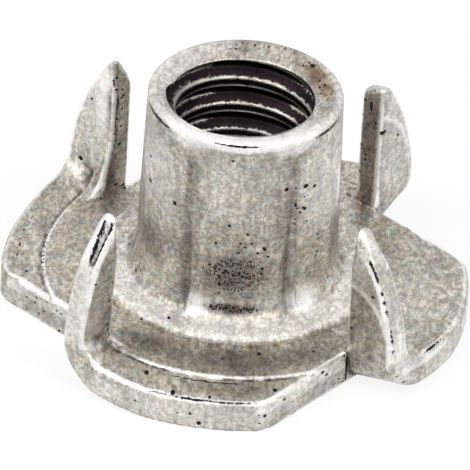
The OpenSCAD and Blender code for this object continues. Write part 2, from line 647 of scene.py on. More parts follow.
@dataclass(frozen=True)
class SteelFinish:
    """Bare pressed steel.

    Attributes:
        name: The material's name.
        warm: Colour of clean steel where it looks warm.
        cool: Colour of clean steel where it looks cool.
        worn_and_highlight: Colour of burnished edges and of painted highlights.
        grimy_and_shade: Colour of stains and dirt, and of painted shade in hollows and on flats.
        torn: Colour of the torn part of a sheared edge.
        brown: Colour of the first rust.
        pit: Colour at the bottom of a pit, of dark marks and of painted shade and shadow.
        roughness: Roughness of clean steel.
        mottled: How far the mottling changes it.
        torn_rough: How much rougher torn metal is.
        matte_rough: How much rougher dull places are.
        rubbed_smooth: How much smoother rubbed places are.
        drawn: Scale along the strip the blank was cut from, as the rolls drew the grain out.
        pits: Share of the pits that show on plain steel.
        stains: How strong the broad stains are, from 0 to 1.
        relief: Height of the grain in millimetres.
        bump: How strong that relief shows, from 0 to 1.
    """

    name: str
    warm: Colour = (0.575, 0.515, 0.425)
    cool: Colour = (0.53, 0.53, 0.50)
    worn_and_highlight: Colour = (0.91, 0.90, 0.875)
    grimy_and_shade: Colour = (0.105, 0.092, 0.082)
    torn: Colour = (0.115, 0.09, 0.088)
    brown: Colour = (0.19, 0.10, 0.06)
    pit: Colour = (0.02, 0.015, 0.017)
    roughness: float = 0.42
    mottled: float = 0.24
    torn_rough: float = 0.25
    matte_rough: float = 0.42
    rubbed_smooth: float = 0.1
    drawn: float = 0.62
    pits: float = 0.06
    stains: float = 0.3
    relief: float = 0.04
    bump: float = 0.6

    def build(self) -> bpy.types.Material:
        """Builds the material.

        Returns:
            The material.
        """
        material = bpy.data.materials.new(self.name)
        wire = Wiring.of(material)
        marks = {mask: wire.add("ShaderNodeAttribute", attribute_name=mask.value)["Fac"] for mask in Mask}
        scale = (1 / MM, self.drawn / MM, 1 / MM)
        place = wire.add("ShaderNodeTexCoord")["Object"]
        takes = {
            "Vector": wire.add("ShaderNodeMapping", {"Vector": place, "Scale": scale})[0],
            "Pit Share": self.pits,
            "Pitted": marks[Mask.PITTED],
            "Scored": marks[Mask.SCORED],
            "Sooty": marks[Mask.DARK_MARKS_AND_SHADE],
        }
        grain = wire.add("ShaderNodeGroup", takes, node_tree=GrainGroup.get())
        mottle = grain["Mottle"]
        takes = {"Edge": marks[Mask.EDGE], "Hollow": marks[Mask.HOLLOW], "Mottle": mottle}
        wear_light_and_shade = wire.add("ShaderNodeGroup", takes, node_tree=WearHighlightShadeGroup.get())
        # burnished places and painted highlights, lightened
        rubbed_and_highlit = (marks[Mask.BURNISH_AND_HIGHLIGHT] * mottle.ramp(0.2, 0.5, 0.75, 1.05)).clamped()
        calm = wear_light_and_shade["Bright"].of("MAXIMUM", rubbed_and_highlit)
        colour = self.coloured(wire, marks, grain, wear_light_and_shade, rubbed_and_highlit)
        tone = wire.add("ShaderNodeMix", {0: calm * 0.75, 2: grain["Tone"], 3: 1.0})[0]
        colour = wire.add("ShaderNodeVectorMath", {0: colour, 3: tone}, operation="SCALE")[0]
        # pits, dark marks, and painted shade and shadow take the pit colour
        dark = grain["Pits"].of("MAXIMUM", grain["Soot"]).clamped()
        rough = mottle * self.mottled + (self.roughness - 0.5 * self.mottled)
        rough = rough + marks[Mask.TORN] * self.torn_rough - calm * self.rubbed_smooth
        relief = {"Height": grain["Height"], "Strength": self.bump, "Distance": self.relief * MM}
        surface = {
            "Base Color": wire.mixed(dark, colour, self.pit),
            "Metallic": 1.0,
            "Roughness": (rough + marks[Mask.MATTE] * self.matte_rough).clamped(),
            "Normal": wire.add("ShaderNodeBump", relief)[0],
        }
        wire.add("ShaderNodeOutputMaterial", {"Surface": wire.add("ShaderNodeBsdfPrincipled", surface)[0]})
        return material

    def coloured(
        self, wire: Wiring, marks: dict[Mask, Flow], grain: Outlets, wear_light_and_shade: Outlets, rubbed_and_highlit: Flow
    ) -> Flow:
        """Lays the steel's colours over each other, from clean steel to its bright edges, with painted
        shade and highlights.

        Args:
            wire: Where the nodes go.
            marks: The masks.
            grain: The grain group's outputs.
            wear_light_and_shade: Outputs of the group for burnished and painted-highlight edges and painted
                shade in hollows.
            rubbed_and_highlit: Where flats are burnished, and where highlights are painted on them.

        Returns:
            The colour before its tone and pits.
        """
        patchy = grain["Mottle"].ramp(0.65, 0.4, 0.7, 1.0)
        colour = wire.mixed(grain["Tint"].ramp(0.35, 0.65), self.warm, self.cool)
        # stains; burnish and painted highlights; dirt and painted shade; painted shade in hollows; torn
        # metal; rust; bright edges
        layers = (
            (grain["Stains"] * self.stains, self.grimy_and_shade),
            (rubbed_and_highlit, self.worn_and_highlight),
            ((marks[Mask.DIRT_AND_SHADE] * patchy).clamped(), self.grimy_and_shade),
            (wear_light_and_shade["Dull"], self.grimy_and_shade),
            (marks[Mask.TORN], self.torn),
            ((marks[Mask.BROWN] * patchy).clamped(), self.brown),
            (wear_light_and_shade["Bright"], self.worn_and_highlight),
        )
        for share, over in layers:
            colour = wire.mixed(share, colour, over)
        return colour


@dataclass(frozen=True)
class Smudge:
    """A soft-edged patch of one mask, placed round the axis.

    Attributes:
        mask: The mask it adds to.
        turn: Turn of its middle from the +X axis, in degrees.
        radius: Distance of its middle from the axis.
        height: Height of its middle.
        span: How far it reaches round the axis to each side, in degrees.
        deep: How far it reaches across the radius.
        tall: How far it reaches up and down.
        strength: Its strength in the middle.
    """

    mask: Mask
    turn: float
    radius: float
    height: float
    span: float
    deep: float
    tall: float
    strength: float = 1.0

    def laid(self, x: Array, y: Array, z: Array) -> Array:
        """Gives its strength at places.

        Args:
            x: Places along X.
            y: Places along Y.
            z: Places along Z.

        Returns:
            The strength there.
        """
        off = (np.degrees(np.arctan2(y, x)) - self.turn + 180.0) % 360.0 - 180.0
        far = (off / self.span) ** 2
        far = far + ((np.hypot(x, y) - self.radius) / self.deep) ** 2
        far = far + ((z - self.height) / self.tall) ** 2
        return self.strength * np.exp(-far * far)


def patches(mask: Mask, *rows: tuple[float, ...]) -> tuple[Smudge, ...]:
    """Makes smudges of one mask from their turn, radius, height, span, deep, tall and strength."""
    return tuple(Smudge(mask, *row) for row in rows)


def unmarked(count: int) -> Marks:
    """Makes every mask for a number of points, with nothing on it."""
    return {mask: np.zeros(count) for mask in Mask}


def smudged(marks: Marks, smudges: Sequence[Smudge], x: Array, y: Array, z: Array) -> Marks:
    """Adds smudges to masks.

    Args:
        marks: Every mask so far, which is added to.
        smudges: The smudges.
        x: The points' places along X.
        y: The points' places along Y.
        z: The points' places along Z.

    Returns:
        Every mask, from 0 to 1.
    """
    for smudge in smudges:
        marks[smudge.mask] += smudge.laid(x, y, z)
    return {mask: np.clip(values, 0.0, 1.0) for mask, values in marks.items()}


# ---------------------------------------------------------------------------------------------------
# Pieces
# ---------------------------------------------------------------------------------------------------


@dataclass(frozen=True)
class Prong:
    """How one prong and its cut came out of the press.

    Attributes:
        name: Where the prong stands.
        turn: Turn of its cut from the +X axis, in degrees.
        cut: Distance from the axis to the cut.
        skew: How far the cut runs askew, in degrees.
        inner: Distance from the axis to the prong's straight edge.
        back: Distance from the middle of the cut to the prong's outer face.
        thickness: Thickness of the prong.
        height: Height of its tip.
        lean: Lean towards its inner face, in degrees.
        blunt: Height at which a blunted tip ends.
        tilt: Rise of the blunted end towards the inner face, as a slope.
        lift: How far the bend drew the rim beside it up.
        corner: Rounding of the corner where its cut meets the rim.
        shear: How dark its sheared edge is, from 0 to 1.
        seam: How plain the dark seam and the painted highlight along the bend's crease on it are, from 0 to
            1.
        swell: How much thicker it is at the foot of its straight edge.
        wider: How much wider than the others its bend is inside.
        sharp: Rounding across its tip.
        arch: Height of the crease that the bend left on its outer face, along which a highlight is painted.
        band: How strong the painted highlight on its turned-up rim and its tip is, from 0 to 1.
        furrow: Depth of the furrow that the press folded into the rim near its tip.
    """

    name: str
    turn: float
    cut: float = 8.45
    skew: float = 0.0
    inner: float = 8.5
    back: float = 1.5
    thickness: float = 1.25
    height: float = 8.65
    lean: float = 0.0
    blunt: float = 20.0
    tilt: float = 0.0
    lift: float = 0.35
    corner: float = 0.4
    shear: float = 0.7
    seam: float = 0.3
    swell: float = 0.0
    wider: float = 0.0
    sharp: float = 0.55
    arch: float = 3.15
    band: float = 0.3
    furrow: float = 0.0

    def turned(self, x: Array, y: Array) -> tuple[Array, Array]:
        """Gives how far out across the cut places lie, and how far along it."""
        c, s = math.cos(math.radians(self.turn)), math.sin(math.radians(self.turn))
        return c * x + s * y, c * y - s * x

    def leaned(self, along: Array, rise: Array) -> Array:
        """Gives places along the cut, at a rise above the flange, as they were before it leaned."""
        return along - math.tan(math.radians(self.lean)) * np.maximum(rise, 0.0)


@dataclass
class Flange:
    """The round pressed blank with its four cuts and the prongs bent up beside them.

    Attributes:
        radius: Radius of the blank.
        sheet: Thickness inside the step.
        step_radius: Radius of the shallow step round the rim ring.
        step_drop: Drop at that step.
        step_soft: How far the step's slope runs inside and outside its radius.
        slope_radius: Radius at which the rim ring begins to fall away.
        slope_drop: How much it falls by at the rim.
        rim_round: Rounding of the rim's upper edge.
        rim_zone: Width of the band in which the edges along the cuts turn into the rim's.
        slit: Width of the slit beside a prong's foot.
        slit_run: Places along a cut between which the slit opens out.
        bend_in: Radius inside a bend, at its straight edge and at the rim.
        bend_out: Radius outside a bend, at its straight edge and at the rim.
        bend_lap: How far a bend laps over what is left beside its opening.
        bend_over: How far a bend runs on into the flange.
        lift_radius: Radius at which the lift of the rim begins.
        lift_run: Places along a cut at which the lift has run out and at which it is whole.
        lift_zone: How far to each side of the middle of a cut heights are lifted.
        lift_fade: Heights at which the lift has faded out up a prong and at which it is whole.
        swell_fade: Heights at which a swollen foot has thinned out and at which it is whole.
        swell_deep: The same, as distances from the prong's straight edge.
        furrow_rise: Heights at which a furrow begins, is deep, begins to fade and ends.
        furrow_wide: Half widths of a furrow's top and of its bottom.
        furrow_side: Where a furrow runs across a prong, as a share of its thickness.
        blunt_round: Rounding of a blunted end.
        blunt_middle: How far behind the middle of the cut a tilted end has its own height.
        edge: Rounding of the upper edges along the cuts.
        under_edge: Rounding of the lower edges.
        tip: Rounding of a prong's tip.
        prong_edge: Rounding along a prong's faces.
        tip_zone: How far below its tip a prong begins to sharpen and is at its sharpest.
        leg_run: How far before and past a bend's end its edges turn into the flange's.
        leg_fade: Heights at which they are the prong's own and at which they are the flange's.
        arch_middle: Place across the cut, and height, of the middle of the line that a bend left.
        arch_wide: Half of that line's width across the cut.
        prong_room: How far before its straight edge, and along its cut, a prong is reckoned with.
        lead_in: Radius of the drawn lead-in on the underside.
        bore: Radius of the bore at the lead-in's end.
        well: Radius of the hidden recess that the barrel stands in.
        well_floor: Height of that recess.
        mesh_step: Step of the mesh.
        mesh_margin: Room for the mesh round the blank.
        mesh_top: Height that the mesh reaches.
        mark_reach: Distance over which the bend of the surface is read for the masks.
        prongs: The prongs.
        smudges: The patches of dirt, painted shade, burnish, painted highlights and pits on it.
        finish: The steel's finish.
    """

    radius: float = 11.24
    sheet: float = 1.75
    step_radius: float = 9.3
    step_drop: float = 0.1
    step_soft: tuple[float, float] = (0.06, 0.08)
    slope_radius: float = 10.2
    slope_drop: float = 0.1
    rim_round: float = 0.36
    rim_zone: float = 0.9
    slit: float = 0.12
    slit_run: tuple[float, float] = (-1.5, -0.4)
    bend_in: tuple[float, float] = (0.8, 1.1)
    bend_out: tuple[float, float] = (1.2, 2.35)
    bend_lap: float = 0.3
    bend_over: float = 0.4
    lift_radius: float = 8.2
    lift_run: tuple[float, float] = (4.2, 0.2)
    lift_zone: float = 4.5
    lift_fade: tuple[float, float] = (5.0, 2.2)
    swell_fade: tuple[float, float] = (5.2, 1.9)
    swell_deep: tuple[float, float] = (1.6, 0.1)
    furrow_rise: tuple[float, float, float, float] = (6.3, 7.2, 8.45, 8.75)
    furrow_wide: tuple[float, float] = (0.34, 0.05)
    furrow_side: float = 0.6
    blunt_round: float = 0.3
    blunt_middle: float = 0.9
    edge: float = 0.2
    under_edge: float = 0.07
    tip: float = 0.3
    prong_edge: float = 0.22
    tip_zone: tuple[float, float] = (1.8, 0.3)
    leg_run: tuple[float, float] = (1.2, 0.2)
    leg_fade: tuple[float, float] = (3.4, 2.2)
    arch_middle: tuple[float, float] = (8.5, 2.4)
    arch_wide: float = 2.45
    prong_room: tuple[float, float] = (0.8, 3.2)
    lead_in: float = 1.1
    bore: float = 3.3
    well: float = 4.3
    well_floor: float = 1.05
    mesh_step: float = 0.11
    mesh_margin: float = 0.25
    mesh_top: float = 9.5
    mark_reach: float = 0.1
    prongs: Sequence[Prong] = (
        Prong("front_right", -40.0, cut=8.53, inner=8.3, height=8.2, lift=0.28, seam=1.0),
        Prong(
            "back_right", 50.0, cut=8.6, back=1.45, thickness=1.3, height=8.8, blunt=8.45, tilt=-0.4,
            lift=0.5, corner=0.2, shear=0.36, sharp=0.28, arch=4.5,
        ),
        Prong(
            "back_left", 140.0, inner=8.45, back=1.55, thickness=1.3, height=9.1, blunt=8.8, tilt=1.5,
            lift=0.45, shear=0.05, swell=0.6, wider=0.15, sharp=0.3,
        ),
        Prong(
            "front_left", 230.0, cut=8.5, skew=2.5, inner=9.05, back=1.0, thickness=1.2, height=8.6,
            lean=2.0, band=0.5, furrow=0.16,
        ),
    )
    smudges: Sequence[Smudge] = (
        # painted shade and a painted reflection on the front ring, painted shadow on the back left prong,
        # darker rim and faces
        *patches(
            Mask.DIRT_AND_SHADE,
            (-92, 7.9, 1.75, 30, 1.1, 0.3, 0.62), (-123, 8, 1.75, 9, 0.9, 0.3, 0.55),
            (-58, 8, 1.75, 10, 0.9, 0.3, 0.4), (-90, 10.3, 1.6, 14, 0.5, 0.3, 0.3),
            (-49.2, 9.4, 3.1, 3.2, 1.5, 1.9, 0.35), (-49.2, 9.2, 6.2, 3.2, 1, 1.6, 0.2),
            (-163, 9.8, 1.45, 7, 0.7, 0.35, 0.3), (-128.2, 9.5, 3.2, 2.2, 0.6, 1.6, 0.12),
            (-128.2, 9.4, 4.5, 2.2, 0.35, 1.9, 0.25), (137.5, 8.6, 7, 2, 0.35, 0.6, 0.5),
            (140, 8.5, 2.9, 4.5, 0.35, 1.1, 0.6), (144.5, 8.55, 2.3, 3.5, 0.5, 0.6, 0.4),
        ),
        # rough places on the front, the cuts and the front left prong
        *patches(
            Mask.PITTED,
            (-86, 7.5, 1.75, 9, 0.5, 0.3, 0.6), (-98, 11.25, 0.6, 6, 0.2, 0.2),
            (-64, 9.3, 1.25, 12, 1.5, 0.3, 0.9), (-160, 9.5, 1.1, 10, 1.2, 0.3, 0.9),
            (-128.2, 9.4, 4.5, 2.2, 0.35, 1.9, 0.9),
        ),
        # painted highlights on the rim, the step's edge and the prongs' ridges and feet; lighter prong
        # faces and lobe
        *patches(
            Mask.BURNISH_AND_HIGHLIGHT,
            (-102, 9.36, 1.7, 22, 0.08, 0.3), (-30, 11.25, 1.35, 7, 0.2, 0.16, 0.8),
            (-15, 11.25, 0.6, 24, 0.3, 0.8, 0.35), (-43, 11.2, 2.6, 3.6, 0.3, 1.3, 0.6),
            (-35, 11.2, 1.55, 8, 0.2, 0.3, 0.6), (-43, 11.25, 1.1, 4, 0.3, 0.6, 0.35),
            (-12, 8.6, 1.75, 20, 1.7, 0.3, 0.13), (-129, 10.4, 4.2, 3, 0.6, 2.6, 0.35),
            (-128.4, 10.7, 2.5, 1.5, 0.25, 0.45), (138.9, 8.45, 5.05, 0.9, 0.25, 0.16),
            (138.5, 9.1, 8.1, 1.6, 0.5, 0.7, 0.8), (-100, 11.2, 0.8, 38, 0.3, 0.75, 0.42),
            (41, 9.9, 5.5, 5, 1.3, 3.5, 0.35), (138, 9.7, 5.5, 5, 1.3, 3.5, 0.3),
            (138.5, 9.2, 6.6, 1.6, 0.35, 1.9, 0.5),
        ),
        # dark lines on the rim and step, nicks in it and the prongs, painted shadow at the front right
        # prong's foot
        *patches(
            Mask.DARK_MARKS_AND_SHADE,
            (-96, 9.68, 1.67, 14, 0.07, 0.3, 0.8), (-95.5, 11.06, 1.5, 18, 0.12, 0.06, 0.8),
            (-31, 11.08, 1.64, 7, 0.06, 0.12), (-45.3, 11.25, 1.48, 0.5, 0.3, 0.1, 0.9),
            (-42.6, 11.25, 0.9, 0.5, 0.3, 0.1), (44.6, 8.55, 7.45, 0.6, 0.25, 0.3),
            (40.6, 8.85, 6.15, 0.36, 0.3, 0.13), (41, 8.95, 6.55, 0.3, 0.25, 0.3, 0.6),
            (138.6, 8.45, 4.75, 0.5, 0.25, 0.12, 0.9), (139, 8.45, 5.35, 0.5, 0.25, 0.12, 0.9),
            (138, 8.5, 8.1, 0.35, 0.25, 0.3, 0.8), (136.3, 8.45, 6.9, 0.4, 0.2, 0.5, 0.9),
            (-50.4, 8.6, 0.95, 0.7, 0.2, 1.1), (-47.8, 9, 0.5, 1.6, 0.5, 0.14, 0.9),
        ),
        # scores on the left of the step and on two prongs
        *patches(
            Mask.SCORED,
            (176, 9.28, 1.72, 14, 0.08, 0.3), (171, 10.5, 1.65, 12, 0.09, 0.3, 0.8),
            (-128.3, 9.33, 2.7, 1.2, 0.12, 0.5), (136.6, 8.45, 5.4, 0.8, 0.12, 1.9),
        ),
        # dull places on the two left prongs
        *patches(
            Mask.MATTE,
            (-128.2, 9.4, 4.2, 2.4, 0.6, 2.2, 0.45), (144.5, 8.55, 2.3, 4.5, 0.6, 0.8, 0.8),
        ),
        # first rust on the back right prong
        *patches(Mask.BROWN, (45.5, 8.5, 5, 4, 0.25, 4.2, 0.22)),
        # torn metal on the back left prong
        *patches(Mask.TORN, (139.5, 8.5, 2.9, 3.5, 0.35, 1.1, 0.6), (137.6, 8.48, 6.3, 1.2, 0.3, 1.5, 0.8)),
    )
    finish: SteelFinish = field(default_factory=lambda: SteelFinish("flange_steel"))

    def top(self, radial: Array) -> Array:
        """Gives the height of the flange's upper face.

        Args:
            radial: Distance from the axis.

        Returns:
            The height there.
        """
        inside, outside = self.step_soft
        step = self.step_drop * eased(radial, self.step_radius - inside, self.step_radius + outside)
        return self.sheet - step - self.slope_drop * eased(radial, self.slope_radius, self.radius)

    def bend_end(self, prong: Prong) -> float:
        """Gives where along the cut a prong's bend starts out of the flange."""
        return prong.thickness - prong.back + self.bend_in[0] + prong.wider

    def rim_gap(self, prong: Prong, out: Array, along: Array, z: Array) -> Array:
        """Gives the distance to the blank's rim, followed round the bend and up the prong.

        Args:
            prong: The prong.
            out: Places across its cut.
            along: Places along its cut.
            z: Heights.

        Returns:
            Distance to the rim, negative inside it.
        """
        end = self.bend_end(prong)
        foot = self.sheet + self.bend_in[0] + prong.wider
        swung = np.arctan2(np.maximum(end - along, 0.0), np.maximum(foot - z, 1e-6)) / (0.5 * math.pi)
        tip_out = prong.inner + self.tip
        axis = prong.height - self.tip - math.sqrt((self.radius - self.tip) ** 2 - tip_out * tip_out)
        bent = -end + swung * (foot - axis + end)
        flat = np.where(along > end, -along, np.where(z > foot, z - axis, bent))
        return np.hypot(out, flat) - self.radius

    def lifted(self, prong: Prong, out: Array, along: Array, z: Array) -> Array:
        """Lowers heights by as much as the bend drew the rim up at places across and along the cut."""
        near = eased(out, self.lift_radius, self.radius) * eased(along, *self.lift_run)
        return z - prong.lift * near * eased(z, *self.lift_fade)

    def plate(self, x: Array, y: Array, z: Array) -> Array:
        """Gives the field of the flange without its prongs.

        Args:
            x: Places along X.
            y: Places along Y.
            z: Places along Z.

        Returns:
            Distance to the plate.
        """
        radial = np.hypot(x, y)
        side = radial - self.radius
        for prong in self.prongs:
            out, along = prong.turned(x, y)
            foot = np.maximum(prong.inner - self.slit - prong.cut, 0.0) * eased(along, *self.slit_run)
            across = out - foot - math.tan(math.radians(prong.skew)) * along
            opening = np.maximum(prong.cut - across, along - (self.bend_end(prong) - self.bend_lap))
            side = rounded_cut(side, -opening, prong.corner)
        nearness = eased(radial, self.radius - self.rim_zone, self.radius - 0.1)
        upper = self.edge + (self.rim_round - self.edge) * nearness
        solid = rounded_cut(side, z - self.top(radial), upper)
        solid = rounded_cut(solid, -z, self.under_edge)
        hole = rounded_cut(self.bore - radial, -z, self.lead_in)
        recess = np.maximum(radial - self.well, self.well_floor - z)
        return np.maximum(np.maximum(solid, hole), -recess)

    def upright(self, prong: Prong, x: Array, y: Array, z: Array) -> Array:
        """Gives the field of one prong with its bend.

        Args:
            prong: The prong.
            x: Places along X.
            y: Places along Y.
            z: Places along Z.

        Returns:
            Distance to the prong.
        """
        out, along = prong.turned(x, y)
        end = self.bend_end(prong)
        top = self.top(np.hypot(x, y))
        share = np.clip((out - prong.inner) / (self.radius - prong.inner), 0.0, 1.0)
        bend_in = self.bend_in[0] + prong.wider + share * (self.bend_in[1] - self.bend_in[0])
        bend_out = self.bend_out[0] + share * (self.bend_out[1] - self.bend_out[0])
        leaned = prong.leaned(along, z - self.sheet)
        swell = prong.swell * eased(z, *self.swell_fade)
        swell = swell * eased(out, *(prong.inner + deep for deep in self.swell_deep))
        inner = filleted_join(leaned + prong.back - prong.thickness - swell, z - top, bend_in)
        outer = rounded_cut(-prong.back - leaned, -z, bend_out)
        rim = self.rim_gap(prong, out, along, z)
        if prong.furrow:
            off = np.abs(leaned + prong.back - self.furrow_side * prong.thickness)
            rim = rim + prong.furrow * (between(z, *self.furrow_rise) * eased(off, *self.furrow_wide))
        face = rounded_cut(rim, prong.inner - out, self.tip)
        blunt = z - prong.blunt - prong.tilt * (along + self.blunt_middle)
        face = rounded_cut(face, blunt / math.hypot(1.0, prong.tilt), self.blunt_round)
        near_tip = eased(z, *(prong.height - below for below in self.tip_zone))
        edge = self.prong_edge + (prong.sharp - self.prong_edge) * near_tip
        before, past = self.leg_run
        leaving = eased(along, end - before, end + past) * eased(z, *self.leg_fade)
        solid = rounded_cut(face, inner, edge + (self.rim_round - edge) * leaving)
        solid = rounded_cut(solid, outer, edge + (self.under_edge - edge) * leaving)
        return np.maximum(solid, along - end - self.bend_over)

    def distance(self, x: Array, y: Array, z: Array) -> Array:
        """Gives the field of the whole flange.

        Args:
            x: Places along X.
            y: Places along Y.
            z: Places along Z.

        Returns:
            Distance to the flange.
        """
        for prong in self.prongs:
            out, along = prong.turned(x, y)
            near = (out > self.lift_radius) & (np.abs(along) < self.lift_zone)
            z = np.where(near, self.lifted(prong, out, along, z), z)
        solid = self.plate(x, y, z)
        for prong in self.prongs:
            out, along = prong.turned(x, y)
            near = (out > prong.inner - self.prong_room[0]) & (np.abs(along) < self.prong_room[1])
            if near.any():
                part = self.upright(prong, x[near], y[near], z[near])
                solid[near] = np.minimum(solid[near], part)
        return solid

    def marks(self, net: SurfaceNet, points: Array, quads: Array) -> Marks:
        """Measures where edges, hollows and sheared faces lie.

        Args:
            net: The net that made the points.
            points: The piece's points.
            quads: Its quads.

        Returns:
            A value from 0 to 1 for each mask and point.
        """
        _, gradient, bend = net.slopes(self.distance, points, self.mark_reach)
        normal = gradient / np.maximum(np.linalg.norm(gradient, axis=1), 1e-6)[:, None]
        x, y, z = points.T
        found = unmarked(len(points))
        bend = net.soften(np.clip(bend, -4.0, 4.0), quads)
        turn, radial = np.degrees(np.arctan2(y, x)), np.hypot(x, y)
        # at the rim the edge mark, a painted highlight, stays mainly on the upper edge, and a little more
        # at the front
        front = hump(turn, -97.0, 28.0, 4)
        rise = np.degrees(np.arctan2(normal[:, 2], np.hypot(normal[:, 0], normal[:, 1])))
        rim = eased(radial, self.radius - self.rim_zone, self.radius - 0.6) * (z < 2.4)
        kept = 1.0 - 0.25 * (1.0 - front) * rim
        kept = kept * (1.0 - 0.85 * rim * (1.0 - hump(rise, 57.0, 20.0, 4)))
        # the step's own marks are held back on the right
        step = hump(radial, self.step_radius, 0.2, 4) * (z > 1.4) * (z < 2.0)
        step = 1.0 - 0.75 * step * eased(np.abs(turn), 60.0, 40.0)
        # convex edges lightened, partly burnished and partly a painted highlight; hollows darkened with
        # painted shade
        found[Mask.EDGE] = np.clip(bend / 3.2, 0.0, 1.0) * (kept * step)
        found[Mask.HOLLOW] = np.clip(-bend / 2.5, 0.0, 1.0) * step
        for prong in self.prongs:
            self.mark_cut(prong, points, normal, found)
            self.mark_prong(prong, points, normal, found)
        return smudged(found, self.smudges, x, y, z)

    def mark_cut(self, prong: Prong, points: Array, normal: Array, found: Marks) -> None:
        """Marks the sheared face that a prong left in the flange: burnished above, torn below.

        Args:
            prong: The prong.
            points: The piece's points.
            normal: Their normals.
            found: The masks, which are added to.
        """
        out, along = prong.turned(points[:, 0], points[:, 1])
        facing, _ = prong.turned(normal[:, 0], normal[:, 1])
        z = points[:, 2]
        face = (np.abs(out - prong.cut) < 0.35) & (along < self.bend_end(prong)) & (z < self.sheet)
        face = face * eased(facing, 0.6, 0.9)
        depth = 1.0 - z / self.sheet
        found[Mask.TORN] += 0.12 * face * eased(depth, 0.4, 0.52)
        found[Mask.BURNISH_AND_HIGHLIGHT] += (0.2 + 0.3 * eased(depth, 0.52, 0.4)) * face
        found[Mask.PITTED] += 0.4 * face

    def mark_prong(self, prong: Prong, points: Array, normal: Array, found: Marks) -> None:
        """Marks a prong's torn edge, dark seam, furrow's painted shade and painted highlights on rim, tip
        and crease.

        Args:
            prong: The prong.
            points: The piece's points.
            normal: Their normals.
            found: The masks, which are added to.
        """
        out, along = prong.turned(points[:, 0], points[:, 1])
        facing, sideways = prong.turned(normal[:, 0], normal[:, 1])
        z = points[:, 2]
        leaned = prong.leaned(along, z - self.sheet)
        rim = self.rim_gap(prong, out, along, z)

        # the sheared edge: torn over most of its width, burnished along one side
        across = (prong.thickness - prong.back - leaned) / prong.thickness
        blade = (np.abs(out - prong.inner) < 0.25) & (np.abs(along) < 2.0) & (z > self.sheet * 0.6)
        blade = blade * eased(facing, -0.55, -0.9)
        torn = blade * eased(across, -0.05, 0.08) * eased(1.0 - across, 0.12, 0.2)
        found[Mask.TORN] += prong.shear * torn
        found[Mask.PITTED] += 0.5 * torn
        found[Mask.BURNISH_AND_HIGHLIGHT] += 0.8 * blade * eased(across, 0.8, 0.88)

        # up the prong only the middle of a ridge keeps its edge mark, so that its painted highlight stays
        # thin
        upright = np.abs(leaned + prong.back - 0.5 * prong.thickness) < prong.thickness
        upright = upright & (out > prong.inner - 0.3) & (out < self.radius + 0.3)
        corner = np.degrees(np.arctan2(np.abs(sideways), np.hypot(facing, normal[:, 2])))
        thin = upright * eased(z, 2.4, 3.4) * (1.0 - hump(corner, 45.0, 27.0, 4))
        found[Mask.EDGE] *= 1.0 - 0.65 * thin

        # the rim's painted highlight and dark seam, and the bend's crease: painted highlight, painted
        # lighter above
        upright = upright & (out > prong.inner)
        band = upright * (np.abs(rim) < 0.3) * eased(facing + normal[:, 2], 0.35, 0.8) * eased(z, 1.9, 3.2)
        found[Mask.BURNISH_AND_HIGHLIGHT] += prong.band * band * eased(np.abs(sideways), 0.7, 0.4)
        seam = hump(leaned + prong.back, 0.17, 0.08) * (np.abs(rim) < 0.4)
        beads = 0.55 + 0.45 * np.sin(8.5 * z + 3.0 * np.sin(2.3 * z))
        seam = seam * beads * eased(z, 2.3, 2.8) * eased(z, 7.7, 7.2)
        found[Mask.DARK_MARKS_AND_SHADE] += eased(np.array(prong.seam), 0.5, 0.9) * upright * seam
        middle, foot = self.arch_middle
        arch = np.hypot((out - middle) / self.arch_wide, (z - foot) / prong.arch)
        line = 1.8 * hump(arch, 1.0, 0.035) + 0.3 * eased(arch, 1.0, 1.04)
        line = prong.seam * upright * line * eased(z, 1.6, 2.4)
        found[Mask.BURNISH_AND_HIGHLIGHT] += line * eased(sideways, -0.8, -0.95)

        # the furrow's painted shade in two dark lines, painted highlights on the rim beside them, and on
        # the tip
        if prong.furrow:
            off = np.abs(leaned + prong.back - self.furrow_side * prong.thickness)
            apart = 0.1 + 0.05 * np.clip(z - 6.2, 0.0, 1.8)
            stripes = hump(off, apart, 0.09, 4) * eased(z, 5.6, 7.4) * eased(z, 8.85, 8.7)
            found[Mask.DARK_MARKS_AND_SHADE] += 0.8 * upright * (rim > -0.35) * stripes
            found[Mask.BURNISH_AND_HIGHLIGHT] += 0.5 * band * eased(z, 6.0, 7.0)
        tip = eased(z, prong.height - 1.6, prong.height - 0.3)
        found[Mask.BURNISH_AND_HIGHLIGHT] += (1.6 * prong.band - 0.4) * upright * tip
        found[Mask.EDGE] *= 1.0 - upright * tip * (1.0 - prong.band)

    def build(self) -> bpy.types.Object:
        """Makes the flange's piece.

        Returns:
            The object.
        """
        reach = self.radius + self.mesh_margin
        net = SurfaceNet((-reach, -reach, -self.mesh_margin), (reach, reach, self.mesh_top), self.mesh_step)
        points, quads = net.build(self.distance)
        mesh = bpy.data.meshes.new("flange_and_prongs")
        mesh.from_pydata((points * MM).tolist(), [], quads.tolist())
        write_marks(mesh, self.marks(net, points, quads))
        mesh.shade_smooth()
        return placed("flange_and_prongs", mesh)

    def dress(self, piece: bpy.types.Object) -> None:
        """Gives the flange its steel."""
        piece.data.materials.append(self.finish.build())


